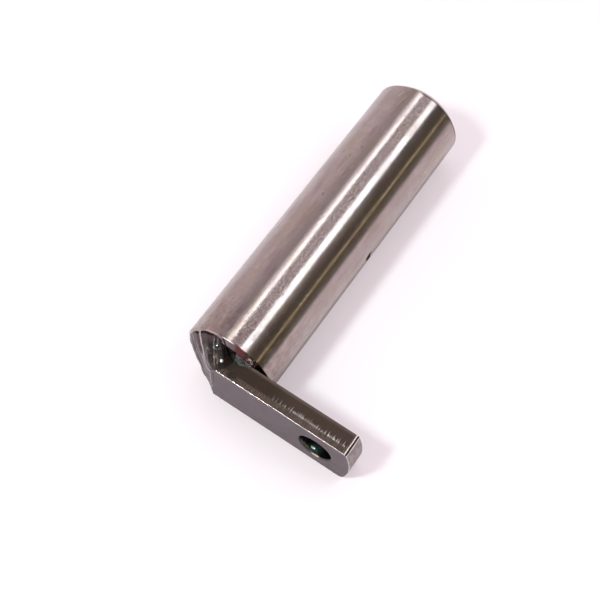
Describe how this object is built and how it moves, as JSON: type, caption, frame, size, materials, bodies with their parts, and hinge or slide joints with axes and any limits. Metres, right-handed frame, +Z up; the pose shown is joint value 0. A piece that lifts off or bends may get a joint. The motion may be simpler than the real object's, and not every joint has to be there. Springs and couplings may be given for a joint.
{
  "type": "steering cylinder pin",
  "caption": "Ground round steel pin with chamfered ends and a flat lock tab, with a bolt hole, welded across one end face.",
  "frame": {"origin": "centre of the pin: on its axis, half way along it, level with the grease outlet", "axes": "+Y along the pin's axis, away from the tab; +Z up as the pin lies on its side; the tab points towards +X and droops to the surface that the pin lies on"},
  "size_m": [0.0625, 0.117, 0.03],
  "materials": {
    "ground_steel": "ground and polished bearing steel, with fine scratches along and across the pin",
    "sheared_plate": "rolled steel plate, dull grey faces and darker sheared edges with bright shear marks",
    "weld_metal": "as-welded bead, rippled, dark and glossy"
  },
  "bodies": {
    "root": {"pin_shaft": "ground_steel", "lock_tab": "sheared_plate", "weld_bead": "weld_metal"}
  },
  "joints": []
}
